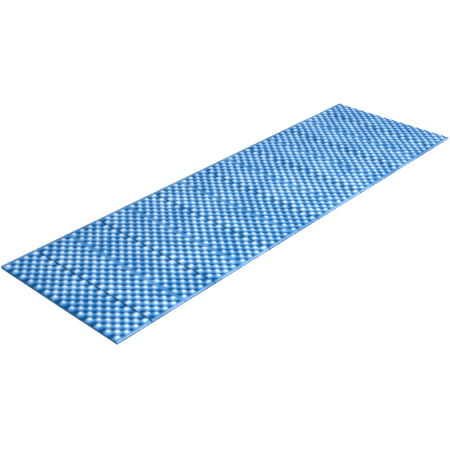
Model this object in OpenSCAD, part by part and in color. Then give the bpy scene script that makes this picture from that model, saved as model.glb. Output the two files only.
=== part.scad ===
// Folding closed-cell foam sleeping pad.
// A row of egg-crate foam panels joined edge to edge by thin pressed webs.
// The webs lie on the underside and the top side in turn, so the pad folds up like a fan.
// Frame: origin under the middle of the pad, +X along its length, +Y across it, +Z up.

/* [Pad] */
// Number of panels along the length
panel_count = 14; // [2:1:20]
// Length of one panel, from fold line to fold line
panel_pitch = 130; // [110:1:160]
// Width of the pad
pad_width = 560; // [450:1:650]

/* [Egg-crate] */
// Foam thickness, measured straight down through a bump or a dimple
foam_thick = 12; // [10:0.5:16]
// Height of a bump, and depth of a dimple, from the level of the rim
swell = 4; // [2:0.5:5]
// Columns of bumps and dimples along a panel, an odd number so that folded panels nest
column_count = 7; // [3:2:9]
// Rows of bumps and dimples across the pad
row_count = 27; // [9:1:29]
// Distance from a fold line to the nearest column
column_margin = 14; // [10:0.5:18]
// Distance from the near long side to the first row
near_margin = 15; // [10:0.5:22]
// Distance from the last row to the far long side
far_margin = 19.8; // [10:0.1:22]
// Share of the swell that is left where the pattern runs out through an edge on top
open_edge_share = 0.5; // [0:0.05:0.7]
// Lift of the underside at the pad's own ends, as a share of the swell
end_lift_share = 0.1; // [0.1:0.05:0.3]

/* [Folds] */
// Thickness of the pressed web that joins two panels
web_thick = 1.6; // [1:0.1:3]
// Width of the web between two panels
web_width = 3; // [2:0.5:5]
// Width of the groove at its open side
groove_width = 5; // [4:0.5:8]
// Gap that is left between two panels when they are folded flat together
folded_gap = 0.5; // [0.3:0.1:1]
// Radius of the crease line pressed into the inner side of each web
crease_radius = 0.9; // [0.6:0.1:1.2]

/* [Hidden] */
$fn = 48;
pad_length = panel_count * panel_pitch;
rim_low = swell;
rim_high = swell + foam_thick;
column_pitch = (panel_pitch - 2 * column_margin) / (column_count - 1);
row_pitch = (pad_width - near_margin - far_margin) / (row_count - 1);
edge_column = column_count + 1;
edge_row = row_count + 1;
ring_size = 2 * column_count + 6;
crease_overrun = 1;
foam_blue = [0.16, 0.47, 0.80];
pressed_blue = [0.09, 0.33, 0.64];

panel_names = [for (k = [1:panel_count]) str("panel_", two_digits(k))];
web_names = [for (k = [1:panel_count - 1]) str("hinge_web_", two_digits(k))];

function two_digits(n) = n < 10 ? str("0", n) : str(n);

// Where fold k crosses the length; fold 0 and the last fold are the pad's own ends.
function fold_x(k) = k * panel_pitch - pad_length / 2;

function is_end(k) = k == 0 || k == panel_count;

// Odd folds keep their web on the underside and even folds keep it on the top side.
function web_below(k) = k % 2 == 1;

// The fold line runs just outside the web, half the folded gap away from it.
function fold_z(k) = web_below(k) ? rim_low - folded_gap / 2 : rim_high + folded_gap / 2;

// How far a panel's edge stands back from fold k, on the top or on the underside.
function setback(k, top) = is_end(k) ? 0 : (web_below(k) == top ? groove_width : web_width) / 2;

// 1 on a bump and -1 in a dimple. Neighbouring panels have opposite patterns.
function bump_sign(k, c, r) = (k + c + r) % 2 == 1 ? 1 : -1;

// Share of the swell left at fold k, beside a bump (sign 1), a dimple (-1) or a long side (0).
// On top, the pattern runs out through the lips of a groove, and the pad's own ends only dip from
// the rim. Underneath, every edge is straight, and lifted a little at the pad's own ends. Both
// keep the ends clear of the edges they fold onto.
function edge_share(k, sign, top) =
    !top ? (is_end(k) ? end_lift_share : 0) :
    is_end(k) ? 2 * open_edge_share * min(sign, 0) :
    web_below(k) ? open_edge_share * sign : 0;

// The sign of the pattern at a row, which is 0 on the long sides, past the first and last rows.
function row_sign(k, c, r) = r == 0 || r == edge_row ? 0 : bump_sign(k, c, r);

// Share of the swell at column c and row r of panel k; columns and rows past the last are edges.
function swell_share(k, c, r, top) =
    c == 0 ? edge_share(k - 1, row_sign(k, 1, r), top) :
    c == edge_column ? edge_share(k, row_sign(k, column_count, r), top) :
    row_sign(k, c, r);

function column_x(k, c, top) =
    c == 0 ? fold_x(k - 1) + setback(k - 1, top) :
    c == edge_column ? fold_x(k) - setback(k, top) :
    fold_x(k - 1) + column_margin + (c - 1) * column_pitch;

function row_y(r) =
    r == 0 ? -pad_width / 2 :
    r == edge_row ? pad_width / 2 :
    near_margin - pad_width / 2 + (r - 1) * row_pitch;

function skin_point(k, c, r, top) = [
    column_x(k, c, top),
    row_y(r),
    (top ? rim_high : rim_low) + swell * swell_share(k, c, r, top)
];

// The corner where a panel's end face meets the web of fold k; side is 1 right of it, -1 left.
function web_corner(k, r, side) = [
    fold_x(k) + side * (is_end(k) ? 0 : web_width / 2),
    row_y(r),
    is_end(k) ? (rim_low + rim_high) / 2 : web_below(k) ? rim_low + web_thick : rim_high - web_thick
];

// The outline of a panel at row r: along the top, down the end, back underneath and up again.
function ring(k, r) = concat(
    [for (c = [0:edge_column]) skin_point(k, c, r, true)],
    [web_corner(k, r, -1)],
    [for (c = [edge_column:-1:0]) skin_point(k, c, r, false)],
    [web_corner(k - 1, r, 1)]
);

// Column that a ring's point belongs to, or -1 for a corner at a web.
function ring_column(i) =
    i <= edge_column ? i :
    i == edge_column + 1 || i == ring_size - 1 ? -1 :
    ring_size - 2 - i;

// Odd panels run their ridges from bump to bump and even panels from dimple to dimple, so that
// folded panels nest with the same gap everywhere.
function ridge_sign(k) = k % 2 == 1 ? 1 : -1;

// A patch between two rings is two triangles, split along its ridge.
function patch(k, r, i) =
    let (
        here = r * ring_size + i,
        beside = r * ring_size + (i + 1) % ring_size,
        beyond = here + ring_size,
        across = beside + ring_size,
        c = ring_column(i),
        kept = c < 0 || bump_sign(k, c, r) == ridge_sign(k)
    )
    kept ? [[here, beyond, across], [here, across, beside]]
         : [[here, beyond, beside], [beside, beyond, across]];

// One face of a panel's long side, between columns c and c + 1 and reaching the end beside them.
function side_face(c) =
    c == 0 ? [ring_size - 3, ring_size - 2, ring_size - 1, 0, 1] :
    c == column_count ? [c, c + 1, c + 2, c + 3, c + 4] :
    [c, c + 1, ring_size - 3 - c, ring_size - 2 - c];

function far_side(face) = [for (i = [len(face) - 1:-1:0]) edge_row * ring_size + face[i]];

module panel(k) {
    color(foam_blue)
        polyhedron(
            points = [for (r = [0:edge_row]) each ring(k, r)],
            faces = concat(
                [for (c = [0:column_count]) side_face(c)],
                [for (r = [0:edge_row - 1], i = [0:ring_size - 1]) each patch(k, r, i)],
                [for (c = [0:column_count]) far_side(side_face(c))]
            )
        );
}

module hinge_web(k) {
    color(pressed_blue)
        difference() {
            translate([
                fold_x(k) - web_width / 2,
                -pad_width / 2,
                web_below(k) ? rim_low : rim_high - web_thick
            ])
                cube([web_width, pad_width, web_thick]);
            translate([fold_x(k), pad_width / 2 + crease_overrun, fold_z(k)])
                rotate([90, 0, 0])
                    cylinder(h = pad_width + 2 * crease_overrun, r = crease_radius);
        }
}

for (k = [1:panel_count])
    panel(k);
for (k = [1:panel_count - 1])
    hinge_web(k);
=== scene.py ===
"""Visual model of a folding closed-cell foam sleeping pad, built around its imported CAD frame.

The pad is a row of egg-crate panels joined by thin pressed webs. Each panel and each web is one closed
mesh that takes its place from the CAD node it stands for. Lengths are metres; +X runs along the pad,
+Y across it and +Z up.
"""
import logging
import math
from dataclasses import dataclass
from enum import Enum

import bpy
import numpy as np
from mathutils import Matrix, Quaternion, Vector


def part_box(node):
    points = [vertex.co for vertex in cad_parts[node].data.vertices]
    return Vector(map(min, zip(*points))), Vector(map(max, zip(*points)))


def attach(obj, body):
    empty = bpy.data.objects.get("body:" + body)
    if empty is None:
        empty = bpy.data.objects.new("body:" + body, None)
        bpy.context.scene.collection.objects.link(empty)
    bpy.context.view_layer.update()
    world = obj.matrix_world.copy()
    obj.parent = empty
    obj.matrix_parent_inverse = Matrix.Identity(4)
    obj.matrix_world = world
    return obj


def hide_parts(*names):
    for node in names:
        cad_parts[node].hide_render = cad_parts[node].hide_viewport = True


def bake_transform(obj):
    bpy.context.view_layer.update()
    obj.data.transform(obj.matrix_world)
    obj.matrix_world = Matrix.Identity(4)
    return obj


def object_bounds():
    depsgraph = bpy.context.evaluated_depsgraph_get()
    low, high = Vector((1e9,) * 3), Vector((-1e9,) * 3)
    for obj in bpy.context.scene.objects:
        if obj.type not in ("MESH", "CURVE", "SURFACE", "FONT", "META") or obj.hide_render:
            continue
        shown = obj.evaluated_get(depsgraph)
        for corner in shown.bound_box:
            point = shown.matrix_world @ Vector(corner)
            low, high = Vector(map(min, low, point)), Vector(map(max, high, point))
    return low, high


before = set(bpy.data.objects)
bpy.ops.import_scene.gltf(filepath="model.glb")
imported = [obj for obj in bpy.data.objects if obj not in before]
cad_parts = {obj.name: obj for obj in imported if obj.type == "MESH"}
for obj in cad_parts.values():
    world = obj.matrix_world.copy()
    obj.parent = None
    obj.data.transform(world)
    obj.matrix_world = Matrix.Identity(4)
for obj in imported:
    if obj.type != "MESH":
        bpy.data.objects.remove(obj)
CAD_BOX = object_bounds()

LOG = logging.getLogger("sleeping_pad")
MM = 0.001
Colour = tuple[float, float, float]
WHITE: Colour = (1.0, 1.0, 1.0)
Array = np.ndarray


class Face(Enum):
    """The two moulded faces of the pad."""

    TOP = "top"
    UNDERSIDE = "underside"


class Border(Enum):
    """What a panel's edge is on one face."""

    WEB = "pressed flat beside a web"
    OPEN = "the lip of a groove"
    FREE = "the pad's own end"


class Surface(Enum):
    """The kinds of surface on a panel, in the order of its material slots.

    SKIN is the egg-crate, CUT a long side, WALL the side of a groove and END the pad's own end.
    """

    SKIN = 0
    CUT = 1
    WALL = 2
    END = 3


# ---------------------------------------------------------------- shader helpers


def add_node(tree: bpy.types.NodeTree, kind: str, **values: object) -> bpy.types.Node:
    """Adds a node and sets its properties.

    Args:
        tree: The node tree that gets the node.
        kind: The node's type name.
        **values: Properties of the node, by name.

    Returns:
        The new node.
    """
    node = tree.nodes.new(kind)
    for name, value in values.items():
        setattr(node, name, value)
    return node


def feed(tree: bpy.types.NodeTree, node: bpy.types.Node, **inputs: object) -> bpy.types.Node:
    """Links or sets the inputs of a node; an underscore in a name stands for a space.

    Args:
        tree: The node tree that holds the node.
        node: The node to feed.
        **inputs: An output socket to link, or a value to set, for each input by name or by i and its number.

    Returns:
        The same node.
    """
    for name, value in inputs.items():
        by_number = name[0] == "i" and name[1:].isdigit()
        socket = node.inputs[int(name[1:]) if by_number else name.replace("_", " ")]
        if isinstance(value, bpy.types.NodeSocket):
            tree.links.new(value, socket)
        else:
            socket.default_value = value
    return node


def maths(tree: bpy.types.NodeTree, operation: str, first: object, second: object = 0.0,
          clamp: bool = False) -> bpy.types.NodeSocket:
    """Adds a Math node.

    Args:
        tree: The node tree that gets the node.
        operation: The Math node's operation.
        first: Its first value or socket.
        second: Its second value or socket.
        clamp: Whether the result is kept from 0 to 1.

    Returns:
        The result socket.
    """
    node = add_node(tree, "ShaderNodeMath", operation=operation, use_clamp=clamp)
    feed(tree, node, i0=first, i1=second)
    return node.outputs[0]


def ramp(tree: bpy.types.NodeTree, value: bpy.types.NodeSocket, low: float, high: float,
         to_low: float = 0.0, to_high: float = 1.0) -> bpy.types.NodeSocket:
    """Adds a smooth Map Range from one range of values to another.

    Args:
        tree: The node tree that gets the node.
        value: The socket to map.
        low: The value that becomes to_low.
        high: The value that becomes to_high.
        to_low: The lower result.
        to_high: The upper result.

    Returns:
        The result socket.
    """
    node = add_node(tree, "ShaderNodeMapRange", interpolation_type="SMOOTHSTEP")
    feed(tree, node, Value=value, From_Min=low, From_Max=high, To_Min=to_low, To_Max=to_high)
    return node.outputs["Result"]


def tint(tree: bpy.types.NodeTree, factor: object, first: object, second: object) -> bpy.types.NodeSocket:
    """Adds a colour Mix node.

    Args:
        tree: The node tree that gets the node.
        factor: How much of the second colour there is.
        first: The first colour or socket.
        second: The second colour or socket.

    Returns:
        The mixed colour's socket.
    """
    node = add_node(tree, "ShaderNodeMix", data_type="RGBA", blend_type="MIX")
    feed(tree, node, i0=factor, i6=first, i7=second)
    return node.outputs[2]


def rgba(colour: Colour) -> tuple[float, float, float, float]:
    """A colour with full alpha, as colour sockets want it."""
    return (*colour, 1.0)


@dataclass(frozen=True)
class Socket:
    """One input or output of a node group."""

    name: str
    kind: str = "NodeSocketFloat"
    value: float | None = None


def new_group(name: str, inputs: list[Socket], outputs: list[Socket]) -> tuple[
        bpy.types.ShaderNodeTree, bpy.types.Node, bpy.types.Node]:
    """Makes an empty shader node group with named inputs and outputs.

    Args:
        name: The group's name.
        inputs: Its inputs.
        outputs: Its outputs.

    Returns:
        The group, its input node and its output node.
    """
    tree = bpy.data.node_groups.new(name, "ShaderNodeTree")
    for direction, sockets in (("INPUT", inputs), ("OUTPUT", outputs)):
        for socket in sockets:
            made = tree.interface.new_socket(name=socket.name, in_out=direction, socket_type=socket.kind)
            if socket.value is not None:
                made.default_value = socket.value
    return tree, add_node(tree, "NodeGroupInput"), add_node(tree, "NodeGroupOutput")


class FoamShaders:
    """The effects that every foam finish shares, each built once as a node group."""

    # The coarse noise that bends the cell walls, and the fine grain, as shares of the cells' density.
    bend_density = 0.35
    grain_density = 1.9
    bend_reach = 0.6 * MM
    # Distance from a cell's wall, as a share of the cell, over which its hollow deepens.
    wall_edge, hollow_edge = 0.02, 0.34
    grain_height = 0.5
    # Noise scales of the slow and the quick colour drift, in features a metre.
    slow_scale, quick_scale = 9.0, 140.0
    speckle = 0.35
    # Levels of the swell between which the colour turns paler, a painted highlight on the bump tops, and between
    # which it turns deeper, a painted shade in the dimples and at the foot of the cut sides.
    paler_from, paler_to = -0.1, 0.9
    deeper_from, deeper_to = 0.1, -0.8
    hollow_shade = 0.6
    # Rub marks: their stretch and turn, their noise scale, and the swell at which a crest is reached.
    rub_stretch, rub_turn, rub_scale = 0.35, 0.5, 420.0
    crest_from, crest_to = 0.45, 0.95
    rub_from, rub_to = 0.5, 0.66

    def __init__(self) -> None:
        """Builds the three groups."""
        self.cells = self._build_cells()
        self.patches = self._build_patches()
        self.scuffs = self._build_scuffs()

    def _build_cells(self) -> bpy.types.ShaderNodeTree:
        """Builds the closed-cell relief.

        Returns:
            A group that gives the relief's height and a mask of the hollow of each cell.
        """
        tree, given, out = new_group(
            "Foam cells",
            [Socket("Place", "NodeSocketVector"), Socket("Cell Size", value=0.8 * MM), Socket("Openness", value=0.5)],
            [Socket("Height"), Socket("Hollow")])
        density = maths(tree, "DIVIDE", 1.0, given.outputs["Cell Size"])
        bend = add_node(tree, "ShaderNodeTexNoise")
        feed(tree, bend, Vector=given.outputs["Place"],
             Scale=maths(tree, "MULTIPLY", density, self.bend_density), Detail=1.0)
        shift = add_node(tree, "ShaderNodeVectorMath", operation="MULTIPLY_ADD")
        feed(tree, shift, i0=bend.outputs["Color"], i1=(self.bend_reach,) * 3, i2=given.outputs["Place"])
        walls = add_node(tree, "ShaderNodeTexVoronoi", feature="DISTANCE_TO_EDGE")
        feed(tree, walls, Vector=shift.outputs[0], Scale=density, Randomness=1.0)
        hollow = ramp(tree, walls.outputs["Distance"], self.wall_edge, self.hollow_edge)
        grain = add_node(tree, "ShaderNodeTexNoise")
        feed(tree, grain, Vector=given.outputs["Place"],
             Scale=maths(tree, "MULTIPLY", density, self.grain_density), Detail=2.0)
        depth = maths(tree, "MULTIPLY", hollow, given.outputs["Openness"])
        rough = maths(tree, "MULTIPLY", grain.outputs["Fac"], self.grain_height)
        height = maths(tree, "SUBTRACT", rough, depth)
        feed(tree, out, Height=height, Hollow=depth)
        return tree

    def _build_patches(self) -> bpy.types.ShaderNodeTree:
        """Builds the foam's colour: the slow drift of foam that cooled unevenly in its mould, with a painted
        highlight where the swell is high and painted shade where it is low and in the hollow of each cell.

        Returns:
            A group that gives the drifted colour with its painted highlight and shade.
        """
        tree, given, out = new_group(
            "Foam colour",
            [Socket("Place", "NodeSocketVector"), Socket("Deep", "NodeSocketColor"),
             Socket("Middle", "NodeSocketColor"), Socket("Pale", "NodeSocketColor"), Socket("Swell"),
             Socket("Hollow"), Socket("Drift", value=0.5)],
            [Socket("Color", "NodeSocketColor")])
        slow = add_node(tree, "ShaderNodeTexNoise")
        feed(tree, slow, Vector=given.outputs["Place"], Scale=self.slow_scale, Detail=3.0, Roughness=0.6)
        quick = add_node(tree, "ShaderNodeTexNoise")
        feed(tree, quick, Vector=given.outputs["Place"], Scale=self.quick_scale, Detail=2.0)
        slow_level = ramp(tree, slow.outputs["Fac"], 0.32, 0.68, -1.0, 1.0)
        quick_level = ramp(tree, quick.outputs["Fac"], 0.35, 0.65, -self.speckle, self.speckle)
        drift = maths(tree, "MULTIPLY", slow_level, given.outputs["Drift"])
        speckle = maths(tree, "MULTIPLY", quick_level, given.outputs["Drift"])
        level = maths(tree, "ADD", given.outputs["Swell"], maths(tree, "ADD", drift, speckle))
        # Painted highlight where the swell is high, painted shade where it is low.
        rise = ramp(tree, level, self.paler_from, self.paler_to)
        fall = ramp(tree, level, self.deeper_from, self.deeper_to)
        paler = tint(tree, rise, given.outputs["Middle"], given.outputs["Pale"])
        deeper = tint(tree, fall, paler, given.outputs["Deep"])
        shade = maths(tree, "MULTIPLY", given.outputs["Hollow"], self.hollow_shade)
        shaded = tint(tree, shade, deeper, given.outputs["Deep"])
        feed(tree, out, Color=shaded)
        return tree

    def _build_scuffs(self) -> bpy.types.ShaderNodeTree:
        """Builds the faint rub marks that packing leaves on the crests of the bumps.

        Returns:
            A group that gives a mask of the rubbed places.
        """
        tree, given, out = new_group(
            "Crest rubbing",
            [Socket("Place", "NodeSocketVector"), Socket("Swell"), Socket("Amount", value=0.3)],
            [Socket("Mask")])
        streak = add_node(tree, "ShaderNodeMapping", vector_type="POINT")
        feed(tree, streak, Vector=given.outputs["Place"], Scale=(1.0, self.rub_stretch, 1.0),
             Rotation=(0.0, 0.0, self.rub_turn))
        marks = add_node(tree, "ShaderNodeTexNoise")
        feed(tree, marks, Vector=streak.outputs["Vector"], Scale=self.rub_scale, Detail=4.0, Roughness=0.7)
        crest = ramp(tree, given.outputs["Swell"], self.crest_from, self.crest_to)
        worn = maths(tree, "MULTIPLY", crest, ramp(tree, marks.outputs["Fac"], self.rub_from, self.rub_to))
        feed(tree, out, Mask=maths(tree, "MULTIPLY", worn, given.outputs["Amount"], clamp=True))
        return tree


def place_group(tree: bpy.types.NodeTree, group: bpy.types.ShaderNodeTree, **inputs: object) -> bpy.types.Node:
    """Places a node group in a tree and feeds it.

    Args:
        tree: The tree that gets the group.
        group: The group.
        **inputs: Its inputs, as feed() takes them.

    Returns:
        The group node.
    """
    node = add_node(tree, "ShaderNodeGroup", node_tree=group)
    return feed(tree, node, **inputs)


@dataclass(frozen=True)
class FoamFinish:
    """One kind of foam surface: its colours, gloss and relief."""

    name: str
    deep: Colour
    middle: Colour
    pale: Colour
    roughness: float
    rubbed_roughness: float
    cell_size: float
    openness: float
    relief: float
    drift: float
    rubbing: float
    specular: float
    grain_roughness: float = 0.12
    refraction: float = 1.5

    def build(self, shaders: FoamShaders) -> bpy.types.Material:
        """Builds the material.

        Args:
            shaders: The shared node groups.

        Returns:
            The finished material.
        """
        material = bpy.data.materials.new(self.name)
        material.use_nodes = True
        tree = material.node_tree
        shader = tree.nodes["Principled BSDF"]
        place = add_node(tree, "ShaderNodeTexCoord").outputs["Object"]
        swell = add_node(tree, "ShaderNodeAttribute", attribute_name="swell").outputs["Fac"]
        cells = place_group(tree, shaders.cells, Place=place, Cell_Size=self.cell_size,
                            Openness=self.openness)
        rubbed = place_group(tree, shaders.scuffs, Place=place, Swell=swell, Amount=self.rubbing).outputs["Mask"]
        # The colour turns pale where the swell is high and deep where it is low: painted highlight and painted shade.
        colour = place_group(tree, shaders.patches, Place=place, Deep=rgba(self.deep),
                             Middle=rgba(self.middle), Pale=rgba(self.pale), Swell=swell,
                             Hollow=cells.outputs["Hollow"], Drift=self.drift)
        rubbed_colour = tint(tree, rubbed, colour.outputs["Color"], rgba(self.pale))
        roughness = maths(tree, "MULTIPLY_ADD", rubbed, self.rubbed_roughness - self.roughness)
        roughness.node.inputs[2].default_value = self.roughness
        grain = maths(tree, "MULTIPLY", cells.outputs["Hollow"], self.grain_roughness)
        bump = add_node(tree, "ShaderNodeBump")
        feed(tree, bump, Height=cells.outputs["Height"], Distance=self.relief, Strength=1.0)
        feed(tree, shader, Base_Color=rubbed_colour, Normal=bump.outputs["Normal"],
             Roughness=maths(tree, "ADD", roughness, grain, clamp=True), IOR=self.refraction,
             Specular_IOR_Level=self.specular)
        return material


# The skin's pale colour is a painted highlight on the bump tops and its deep colour a painted shade in the dimples.
SKIN_FINISH = FoamFinish(
    name="moulded_foam_skin", deep=(0.0, 0.082, 0.26), middle=(0.078, 0.265, 0.53), pale=(0.52, 0.66, 0.84),
    roughness=0.5, rubbed_roughness=0.62, cell_size=0.9 * MM, openness=0.35, relief=0.05 * MM, drift=0.15,
    rubbing=0.35, specular=0.12)
# The cut sides turn to the deep colour towards their bottom edge: painted shade.
CUT_FINISH = FoamFinish(
    name="cut_foam_edge", deep=(0.06, 0.10, 0.17), middle=(0.19, 0.27, 0.37), pale=(0.25, 0.33, 0.44),
    roughness=0.74, rubbed_roughness=0.8, cell_size=0.75 * MM, openness=0.6, relief=0.12 * MM, drift=0.3,
    rubbing=0.0, specular=0.2)
# Darker than the skin: painted shade in the grooves.
WALL_FINISH = FoamFinish(
    name="moulded_groove_wall", deep=(0.004, 0.08, 0.23), middle=(0.015, 0.13, 0.33), pale=(0.05, 0.22, 0.46),
    roughness=0.5, rubbed_roughness=0.6, cell_size=0.8 * MM, openness=0.4, relief=0.05 * MM, drift=0.2,
    rubbing=0.0, specular=0.2)
# Darker than the skin: painted shade on the pad's own ends.
END_FINISH = FoamFinish(
    name="moulded_end_wall", deep=(0.002, 0.09, 0.22), middle=(0.01, 0.14, 0.31), pale=(0.04, 0.21, 0.42),
    roughness=0.6, rubbed_roughness=0.6, cell_size=0.8 * MM, openness=0.4, relief=0.05 * MM, drift=0.2,
    rubbing=0.0, specular=0.15)
PRESSED_FINISH = FoamFinish(
    name="pressed_foam_web", deep=(0.02, 0.16, 0.44), middle=(0.05, 0.26, 0.56), pale=(0.10, 0.35, 0.64),
    roughness=0.42, rubbed_roughness=0.5, cell_size=0.6 * MM, openness=0.2, relief=0.03 * MM, drift=0.25,
    rubbing=0.0, specular=0.3)


# ---------------------------------------------------------------- shape


@dataclass(frozen=True)
class EggCrate:
    """The moulded pattern of bumps and dimples."""

    swell: float = 4.0 * MM
    columns: int = 7
    rows: int = 27
    column_margin: float = 14.0 * MM
    near_margin: float = 15.0 * MM
    far_margin: float = 19.8 * MM
    flat_rim: float = 4.0 * MM
    edge_share: float = 0.5
    end_lift: float = 0.1
    column_steps: int = 5
    row_steps: int = 6
    unevenness: float = 0.06

    def runout(self, t: Array, share: float) -> Array:
        """How the pattern dies away beyond its last bump.

        Args:
            t: 0 at the last bump and 1 at the edge.
            share: What is left of the swell at the edge.

        Returns:
            The share of the swell at each t.
        """
        return share + (1.0 - share) * 0.5 * (1.0 + np.cos(math.pi * np.clip(t, 0.0, 1.0)))


def arc_steps(radius: float, count: int) -> Array:
    """Distances from an edge at which grid lines cross a rounded rim.

    Args:
        radius: The rim's radius.
        count: The number of steps round the rim.

    Returns:
        The distances, from the radius down to 0.
    """
    angles = np.linspace(math.pi / 2, 0.0, count + 1)
    return radius * (1.0 - np.cos(angles))


def arc_drop(distance: Array, radius: float) -> Array:
    """How far a rounded rim lies below its face.

    Args:
        distance: Distances from the edge.
        radius: The rim's radius.

    Returns:
        The drop at each distance.
    """
    inside = np.clip(radius - distance, 0.0, radius)
    return radius - np.sqrt(np.maximum(radius * radius - inside * inside, 0.0))


@dataclass(frozen=True)
class Edge:
    """One end of a panel on one face: where it stands and how it is finished."""

    x: float
    border: Border
    radius: float


@dataclass
class FoamPanel:
    """One egg-crate panel, from fold line to fold line."""

    number: int
    left_fold: float
    right_fold: float
    left_web_below: bool | None
    right_web_below: bool | None
    pattern: EggCrate
    rim_low: float
    rim_high: float
    web_half: float = 1.5 * MM
    web_thick: float = 1.6 * MM
    groove_half: float = 2.5 * MM
    lip_radius: float = 1.6 * MM
    pressed_radius: float = 0.35 * MM
    end_radius: float = 0.9 * MM
    side_radius: float = 1.2 * MM
    rim_steps: int = 4
    runout_steps: int = 4
    wall_steps: int = 5

    @property
    def name(self) -> str:
        """The CAD node, and the body, that this panel stands for."""
        return f"panel_{self.number:02d}"

    def edge(self, face: Face, right: bool) -> Edge:
        """The panel's end on one face.

        Args:
            face: The face.
            right: True for the end towards +X.

        Returns:
            The edge.
        """
        fold = self.right_fold if right else self.left_fold
        below = self.right_web_below if right else self.left_web_below
        inward = -1.0 if right else 1.0
        if below is None:
            return Edge(fold, Border.FREE, self.end_radius)
        if below == (face is Face.TOP):
            return Edge(fold + inward * self.groove_half, Border.OPEN, self.lip_radius)
        return Edge(fold + inward * self.web_half, Border.WEB, self.pressed_radius)

    def grid_x(self, face: Face) -> tuple[Array, Array, Array]:
        """The grid lines across one face, with the pattern's wave and the rim's drop along them.

        Args:
            face: The face.

        Returns:
            The lines' x, the signed wave at each line, and how far a rounded rim lowers it.
        """
        egg = self.pattern
        first = self.left_fold + egg.column_margin
        last = self.right_fold - egg.column_margin
        inner = np.linspace(first, last, (egg.columns - 1) * egg.column_steps + 1)
        sign = 1.0 if self.number % 2 == 1 else -1.0
        wave = sign * np.cos(math.pi * (egg.columns - 1) * (inner - first) / (last - first))
        parts: list[tuple[Array, Array, Array]] = []
        for right, start in ((False, first), (True, last)):
            edge = self.edge(face, right)
            reach = abs(start - edge.x)
            distance = np.concatenate([
                np.linspace(reach, edge.radius, self.runout_steps + 1)[1:-1], arc_steps(edge.radius, self.rim_steps)])
            share = egg.edge_share if face is Face.TOP and edge.border is not Border.WEB else 0.0
            span = reach - self.groove_half if edge.border is Border.FREE else reach
            run = egg.runout((reach - distance) / span, share) * (wave[-1] if right else wave[0])
            x = edge.x + (distance if not right else -distance)
            drop = arc_drop(distance, edge.radius)
            parts.append((x, run, drop) if right else (x[::-1], run[::-1], drop[::-1]))
        left, rightmost = parts
        zeros = np.zeros_like(inner)
        return (np.concatenate([left[0], inner, rightmost[0]]), np.concatenate([left[1], wave, rightmost[1]]),
                np.concatenate([left[2], zeros, rightmost[2]]))

    def grid_y(self, low: float, high: float) -> tuple[Array, Array, Array]:
        """The grid lines along the pad's width, with the wave and the rim's drop along them.

        Args:
            low: The near long side.
            high: The far long side.

        Returns:
            The lines' y, the signed wave at each line, and how far a rounded rim lowers it.
        """
        egg = self.pattern
        first, last = low + egg.near_margin, high - egg.far_margin
        inner = np.linspace(first, last, (egg.rows - 1) * egg.row_steps + 1)
        wave = np.cos(math.pi * (egg.rows - 1) * (inner - first) / (last - first))
        parts: list[tuple[Array, Array, Array]] = []
        for far, start, side in ((False, first, low), (True, last, high)):
            reach = abs(start - side)
            distance = np.concatenate([
                np.linspace(reach, egg.flat_rim, self.runout_steps + 1)[1:],
                arc_steps(self.side_radius, self.rim_steps)])
            run = egg.runout((reach - distance) / (reach - egg.flat_rim), 0.0) * (wave[-1] if far else wave[0])
            y = side + (distance if not far else -distance)
            drop = arc_drop(distance, self.side_radius)
            parts.append((y, run, drop) if far else (y[::-1], run[::-1], drop[::-1]))
        near, far_part = parts
        zeros = np.zeros_like(inner)
        return (np.concatenate([near[0], inner, far_part[0]]), np.concatenate([near[1], wave, far_part[1]]),
                np.concatenate([near[2], zeros, far_part[2]]))

    def unevenness(self, x: Array, y: Array) -> Array:
        """A share just below 1 for each place, so no two bumps are quite alike.

        Args:
            x: The grid lines' x.
            y: The grid lines' y.

        Returns:
            The share at each crossing of the lines.
        """
        egg = self.pattern
        chance = np.random.default_rng(self.number)
        lattice = 1.0 - egg.unevenness * chance.random((egg.columns + 2, egg.rows + 2))
        across = np.linspace(0.0, 1.0, egg.columns + 2)
        along = np.linspace(0.0, 1.0, egg.rows + 2)
        u = (x - x[0]) / (x[-1] - x[0])
        v = (y - y[0]) / (y[-1] - y[0])
        by_row = np.array([np.interp(u, across, lattice[:, r]) for r in range(egg.rows + 2)])
        return np.array([np.interp(v, along, by_row[:, i]) for i in range(len(x))])

    def surface(self, face: Face, low: float, high: float) -> tuple[Array, Array, Array, Array]:
        """One moulded face of the panel.

        Args:
            face: The face.
            low: The near long side.
            high: The far long side.

        Returns:
            The lines' x, the lines' y, the height at each crossing, and the share of the swell there.
        """
        egg = self.pattern
        x, wave_x, drop_x = self.grid_x(face)
        y, wave_y, drop_y = self.grid_y(low, high)
        share = np.outer(wave_x, wave_y) * self.unevenness(x, y)
        if face is Face.TOP:
            share += np.outer(self.end_shift(x, -egg.edge_share), self.inside(y, low, high))
        else:
            share += np.outer(self.end_shift(x, egg.end_lift), np.ones_like(y))
        drop = np.hypot.outer(drop_x, drop_y)
        if face is Face.TOP:
            return x, y, self.rim_high + egg.swell * share - drop, share
        return x, y, self.rim_low + egg.swell * share + drop, -share

    def end_shift(self, x: Array, share: float) -> Array:
        """How far a face shifts towards the pad's own end, as a share of the swell.

        Args:
            x: The grid lines' x.
            share: The shift at the end itself.

        Returns:
            The shift at each line.
        """
        shift = np.zeros_like(x)
        margin = self.pattern.column_margin
        ends = ((self.left_web_below, x - self.left_fold), (self.right_web_below, self.right_fold - x))
        for web_below, distance in ends:
            if web_below is None:
                shift += share * 0.5 * (1.0 + np.cos(math.pi * np.clip(distance / margin, 0.0, 1.0)))
        return shift

    def inside(self, y: Array, low: float, high: float) -> Array:
        """1 where the pattern is whole, falling to 0 at the flat rims of the long sides.

        Args:
            y: The grid lines' y.
            low: The near long side.
            high: The far long side.

        Returns:
            The share at each line.
        """
        egg = self.pattern
        near = (y - low - egg.flat_rim) / (egg.near_margin - egg.flat_rim)
        far = (high - y - egg.flat_rim) / (egg.far_margin - egg.flat_rim)
        return 0.5 * (1.0 - np.cos(math.pi * np.clip(np.minimum(near, far), 0.0, 1.0)))

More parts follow.
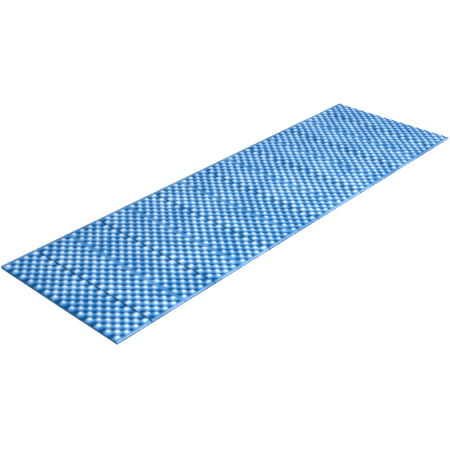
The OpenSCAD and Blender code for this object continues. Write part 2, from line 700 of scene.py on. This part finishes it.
    def wall_x(self, x_top: float, x_bottom: float, z: Array, web_below: bool | None) -> Array:
        """The line of an end wall: straight down at the pad's own end, sloping in to the web at a fold.

        Args:
            x_top: Where the wall leaves the top.
            x_bottom: Where the wall meets the underside.
            z: Heights of the wall's points.
            web_below: Which side the web is on, or None at the pad's own end.

        Returns:
            The wall's x at each height.
        """
        if web_below is None:
            return np.full_like(z, x_top)
        web = self.rim_low + self.web_thick if web_below else self.rim_high - self.web_thick
        lip = self.rim_high - self.lip_radius if web_below else self.rim_low + self.lip_radius
        t = np.clip((z - web) / (lip - web), 0.0, 1.0)
        at_web, at_lip = (x_bottom, x_top) if web_below else (x_top, x_bottom)
        return at_web + (at_lip - at_web) * t

    def build(self, materials: list[bpy.types.Material]) -> bpy.types.Object:
        """Builds the panel as one closed mesh of quads.

        Even panels start their quads one corner on, so that the facets of folded panels line up.

        Args:
            materials: The panel's materials, in the order of Surface.

        Returns:
            The panel's object.
        """
        low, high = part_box(self.name)[0].y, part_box(self.name)[1].y
        xt, y, zt, st = self.surface(Face.TOP, low, high)
        xb, _, zb, sb = self.surface(Face.UNDERSIDE, low, high)
        nx, ny, steps = len(xt), len(y), self.wall_steps
        levels = 0.5 - 0.5 * np.cos(np.linspace(0.0, math.pi, steps + 1))[1:-1]
        columns: list[tuple[Array, Array, Array]] = []
        for i in range(nx):
            columns.append((np.full(ny, xt[i]), zt[i], st[i]))
        for level in levels:
            z = zt[-1] + (zb[-1] - zt[-1]) * level
            columns.append((self.wall_x(xt[-1], xb[-1], z, self.right_web_below), z, np.zeros(ny)))
        for i in range(nx - 1, -1, -1):
            columns.append((np.full(ny, xb[i]), zb[i], sb[i]))
        for level in levels[::-1]:
            z = zt[0] + (zb[0] - zt[0]) * level
            columns.append((self.wall_x(xt[0], xb[0], z, self.left_web_below), z, np.zeros(ny)))
        ring = len(columns)
        points = np.stack([np.stack([c[0] for c in columns]), np.broadcast_to(y, (ring, ny)),
                           np.stack([c[1] for c in columns])], axis=2)
        swell = np.stack([c[2] for c in columns])
        verts = [points.reshape(-1, 3)]
        shares = [swell.reshape(-1)]
        i = np.arange(ring)[:, None]
        j = np.arange(ny - 1)[None, :]
        nxt = (i + 1) % ring
        skin = np.broadcast_arrays(i * ny + j, nxt * ny + j, nxt * ny + j + 1, i * ny + j + 1)
        quads = [np.stack(skin, axis=2).reshape(-1, 4)]
        wall = np.zeros(ring, int)
        right_kind = Surface.END if self.right_web_below is None else Surface.WALL
        left_kind = Surface.END if self.left_web_below is None else Surface.WALL
        wall[nx - 1:nx - 1 + steps] = right_kind.value
        wall[2 * nx - 1 + steps - 1:] = left_kind.value
        kinds = [np.repeat(wall, ny - 1)]
        base = ring * ny
        for far in (False, True):
            row = ny - 1 if far else 0
            top = np.arange(nx) * ny + row
            bottom = (nx + steps - 1 + np.arange(nx)[::-1]) * ny + row
            right_wall = (nx + np.arange(steps - 1)) * ny + row
            left_wall = (2 * nx + steps - 1 + np.arange(steps - 1)[::-1]) * ny + row
            table = np.zeros((nx, steps + 1), int)
            table[:, 0], table[:, -1] = top, bottom
            table[0, 1:-1], table[-1, 1:-1] = left_wall, right_wall
            inner = np.arange((nx - 2) * (steps - 1)).reshape(nx - 2, steps - 1) + base
            table[1:-1, 1:-1] = inner
            base += inner.size
            a, b = points.reshape(-1, 3)[top][1:-1], points.reshape(-1, 3)[bottom][1:-1]
            filled = a[:, None, :] + (b - a)[:, None, :] * levels[None, :, None]
            verts.append(filled.reshape(-1, 3))
            # A falling share down each cut side turns it deeper towards the bottom edge: painted shade.
            shares.append(np.tile(-levels, nx - 2))
            quad = np.stack([table[:-1, :-1], table[1:, :-1], table[1:, 1:], table[:-1, 1:]], axis=2).reshape(-1, 4)
            quads.append(quad if far else quad[:, ::-1])
            kinds.append(np.full(len(quad), Surface.CUT.value))
        corners = np.concatenate(quads)
        if self.number % 2 == 0:
            corners = np.roll(corners, 1, axis=1)
        panel = mesh_object(self.name + "_foam", np.concatenate(verts), corners, np.concatenate(kinds),
                            np.concatenate(shares), materials)
        return panel

    def dress(self, panel: bpy.types.Object) -> None:
        """Joins the panel to its body and says what it stands for.

        Args:
            panel: The panel's object.
        """
        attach(panel, self.name)
        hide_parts(self.name)
        LOG.info("%s: %d faces, rides on %s", panel.name, len(panel.data.polygons), self.name)


def mesh_object(name: str, verts: Array, quads: Array, kinds: Array, shares: Array,
                materials: list[bpy.types.Material]) -> bpy.types.Object:
    """Makes a smooth-shaded mesh object that carries its share of the swell as an attribute.

    Args:
        name: The object's name.
        verts: Its points.
        quads: Its faces, four points each.
        kinds: The material slot of each face.
        shares: The share of the swell at each point; it also sets the painted highlight and shade, and on the cut
            sides it only paints shade towards the bottom edge.
        materials: Its materials.

    Returns:
        The new object.
    """
    mesh = bpy.data.meshes.new(name)
    mesh.from_pydata(verts.tolist(), [], quads.tolist())
    mesh.polygons.foreach_set("material_index", kinds.astype(np.int32))
    mesh.polygons.foreach_set("use_smooth", np.ones(len(quads), bool))
    attribute = mesh.attributes.new("swell", "FLOAT", "POINT")
    attribute.data.foreach_set("value", shares.astype(np.float32))
    for material in materials:
        mesh.materials.append(material)
    mesh.update()
    made = bpy.data.objects.new(name, mesh)
    bpy.context.scene.collection.objects.link(made)
    return made


@dataclass
class HingeWeb:
    """The strip of foam pressed thin that joins two panels."""

    number: int
    fold: float
    web_below: bool
    tuck: float = 1.2 * MM
    clearance: float = 0.03 * MM
    crease_radius: float = 0.9 * MM
    axis_gap: float = 0.25 * MM
    bend_steps: int = 18
    tuck_steps: int = 2
    length_step: float = 8.0 * MM

    @property
    def node(self) -> str:
        """The CAD node that this web stands for."""
        return f"hinge_web_{self.number:02d}"

    def build(self, material: bpy.types.Material) -> bpy.types.Object:
        """Builds the web as a closed strip with a crease pressed into its inner side.

        Args:
            material: The web's material.

        Returns:
            The web's object.
        """
        lowest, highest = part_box(self.node)
        half = (highest.x - lowest.x) / 2
        across = np.concatenate([
            np.linspace(-half - self.tuck, -half, self.tuck_steps, endpoint=False),
            np.linspace(-half, half, self.bend_steps + 1),
            np.linspace(half, half + self.tuck, self.tuck_steps + 1)[1:]])
        depth = np.sqrt(np.maximum(self.crease_radius ** 2 - across ** 2, 0.0)) - self.axis_gap
        crease = np.maximum(depth, self.clearance)
        if self.web_below:
            inner, outer = lowest.z + crease, np.full_like(across, highest.z)
        else:
            inner, outer = highest.z - crease, np.full_like(across, lowest.z)
        x = np.concatenate([across, across[::-1]]) + self.fold
        z = np.concatenate([outer, inner[::-1]])
        inset = self.clearance
        y = np.linspace(lowest.y + inset, highest.y - inset, int((highest.y - lowest.y) / self.length_step) + 1)
        ring, ny = len(x), len(y)
        points = np.stack([np.broadcast_to(x[:, None], (ring, ny)), np.broadcast_to(y, (ring, ny)),
                           np.broadcast_to(z[:, None], (ring, ny))], axis=2).reshape(-1, 3)
        i = np.arange(ring)[:, None]
        j = np.arange(ny - 1)[None, :]
        nxt = (i + 1) % ring
        skin = np.broadcast_arrays(i * ny + j, i * ny + j + 1, nxt * ny + j + 1, nxt * ny + j)
        quads = [np.stack(skin, axis=2).reshape(-1, 4)]
        n = len(across)
        for far in (False, True):
            row = ny - 1 if far else 0
            a = np.arange(n) * ny + row
            b = (ring - 1 - np.arange(n)) * ny + row
            quad = np.stack([a[:-1], a[1:], b[1:], b[:-1]], axis=1)
            quads.append(quad[:, ::-1] if far else quad)
        faces = np.concatenate(quads)
        if self.web_below:
            faces = faces[:, ::-1]
        return mesh_object(self.node + "_strip", points, faces, np.zeros(len(faces), int),
                           np.zeros(len(points)), [material])

    def dress(self, web: bpy.types.Object) -> None:
        """Bakes the web's place into its points and hides the CAD node it stands for.

        Args:
            web: The web's object.
        """
        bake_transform(web)
        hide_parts(self.node)


@dataclass
class SleepingPad:
    """The whole pad: its panels and the webs between them."""

    pattern: EggCrate

    def build(self) -> None:
        """Builds and dresses every panel and web."""
        shaders = FoamShaders()
        foam = [finish.build(shaders) for finish in (SKIN_FINISH, CUT_FINISH, WALL_FINISH, END_FINISH)]
        pressed = PRESSED_FINISH.build(shaders)
        lowest, highest = CAD_BOX
        panels = sum(1 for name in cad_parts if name.startswith("panel_"))
        folds: list[float] = [lowest.x]
        below: list[bool | None] = [None]
        for k in range(1, panels):
            web_low, web_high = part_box(f"hinge_web_{k:02d}")
            folds.append((web_low.x + web_high.x) / 2)
            below.append((web_low.z + web_high.z) / 2 < (lowest.z + highest.z) / 2)
        folds.append(highest.x)
        below.append(None)
        for k in range(1, panels + 1):
            panel = FoamPanel(
                number=k, left_fold=folds[k - 1], right_fold=folds[k], left_web_below=below[k - 1],
                right_web_below=below[k], pattern=self.pattern, rim_low=lowest.z + self.pattern.swell,
                rim_high=highest.z - self.pattern.swell)
            panel.dress(panel.build(foam))
        for k in range(1, panels):
            web = HingeWeb(number=k, fold=folds[k], web_below=bool(below[k]))
            web.dress(web.build(pressed))


# ---------------------------------------------------------------- studio


@dataclass(frozen=True)
class SoftLight:
    """A square softbox, whose beam is spread degrees wide."""

    name: str
    place: tuple[float, float, float]
    aim: tuple[float, float, float]
    side: float
    power: float
    spread: float

    def build(self) -> bpy.types.Object:
        """Places the softbox.

        Returns:
            The light's object.
        """
        data = bpy.data.lights.new(self.name, "AREA")
        data.shape, data.size, data.energy = "SQUARE", self.side, self.power
        data.spread = math.radians(self.spread)
        light = bpy.data.objects.new(self.name, data)
        light.location = self.place
        light.rotation_mode = "QUATERNION"
        light.rotation_quaternion = (Vector(self.aim) - Vector(self.place)).to_track_quat("-Z", "Y")
        light.visible_camera = False
        bpy.context.scene.collection.objects.link(light)
        return light


KEY_SOFTBOX = SoftLight(
    "key_softbox", place=(-1.9, -5.2, 3.1), aim=(0.45, 0.0, 0.0), side=0.7, power=165.0, spread=80.0)
BACK_SOFTBOX = SoftLight(
    "back_softbox", place=(2.4, 4.4, 2.6), aim=(0.1, 0.0, 0.0), side=2.4, power=6.0, spread=180.0)


@dataclass
class Studio:
    """A pale seamless studio and the camera."""

    aim: tuple[float, float, float] = (-0.245, -0.071, 0.010)
    azimuth: float = -47.07
    elevation: float = 30.82
    roll: float = -0.44
    distance: float = 2.701
    lens: float = 63.0
    sensor: float = 36.0
    floor_side: float = 60.0
    floor_drop: float = 0.26
    floor_colour: Colour = (0.7, 0.7, 0.7)
    floor_glow: float = 1.0
    ambient: float = 0.2
    ambient_colour: Colour = (0.62, 0.85, 1.0)
    backdrop: float = 1.3
    nudge: float = 0.5 / 450

    def build(self) -> None:
        """Builds the floor, the lights and the camera."""
        self.build_camera()
        self.build_floor()
        self.build_world()
        for light in (KEY_SOFTBOX, BACK_SOFTBOX):
            light.build()
            LOG.info("%s: %.0f W", light.name, light.power)
        view = bpy.context.scene.view_settings
        view.view_transform = "Standard"

    def build_camera(self) -> None:
        """Creates the camera and makes it the scene's."""
        data = bpy.data.cameras.new("camera")
        data.lens, data.sensor_width = self.lens, self.sensor
        data.clip_start, data.clip_end = 0.01, 200.0
        data.shift_x, data.shift_y = -self.nudge, self.nudge
        camera = bpy.data.objects.new("camera", data)
        a, e = math.radians(self.azimuth), math.radians(self.elevation)
        back = Vector((math.sin(a) * math.cos(e), -math.cos(a) * math.cos(e), math.sin(e)))
        camera.location = Vector(self.aim) + back * self.distance
        camera.rotation_mode = "QUATERNION"
        turn = Quaternion(Vector((0.0, 0.0, 1.0)), math.radians(self.roll))
        camera.rotation_quaternion = (-back).to_track_quat("-Z", "Y") @ turn
        bpy.context.scene.collection.objects.link(camera)
        bpy.context.scene.camera = camera

    def build_floor(self) -> None:
        """Builds the pale floor, which glows only where the camera sees it, so that it shows no shadow."""
        half, z = self.floor_side / 2, CAD_BOX[0].z - self.floor_drop
        mesh = bpy.data.meshes.new("floor")
        mesh.from_pydata([(-half, -half, z), (half, -half, z), (half, half, z), (-half, half, z)], [], [(0, 1, 2, 3)])
        material = bpy.data.materials.new("pale_floor")
        material.use_nodes = True
        tree = material.node_tree
        seen = add_node(tree, "ShaderNodeLightPath").outputs["Is Camera Ray"]
        feed(tree, tree.nodes["Principled BSDF"], Base_Color=rgba(self.floor_colour), Roughness=0.9,
             Emission_Color=rgba(WHITE), Emission_Strength=maths(tree, "MULTIPLY", seen, self.floor_glow))
        mesh.materials.append(material)
        floor = bpy.data.objects.new("floor", mesh)
        bpy.context.scene.collection.objects.link(floor)

    def build_world(self) -> None:
        """Lights the studio from all round."""
        world = bpy.data.worlds.new("studio")
        world.use_nodes = True
        tree = world.node_tree
        seen = add_node(tree, "ShaderNodeLightPath").outputs["Is Camera Ray"]
        strength = maths(tree, "MULTIPLY_ADD", seen, self.backdrop - self.ambient)
        strength.node.inputs[2].default_value = self.ambient
        colour = tint(tree, seen, rgba(self.ambient_colour), rgba(WHITE))
        feed(tree, tree.nodes["Background"], Color=colour, Strength=strength)
        bpy.context.scene.world = world


def main() -> None:
    """Builds the studio and the pad."""
    logging.basicConfig(level=logging.INFO, format="%(message)s")
    Studio().build()
    SleepingPad(EggCrate()).build()


if __name__ == "__main__":
    main()
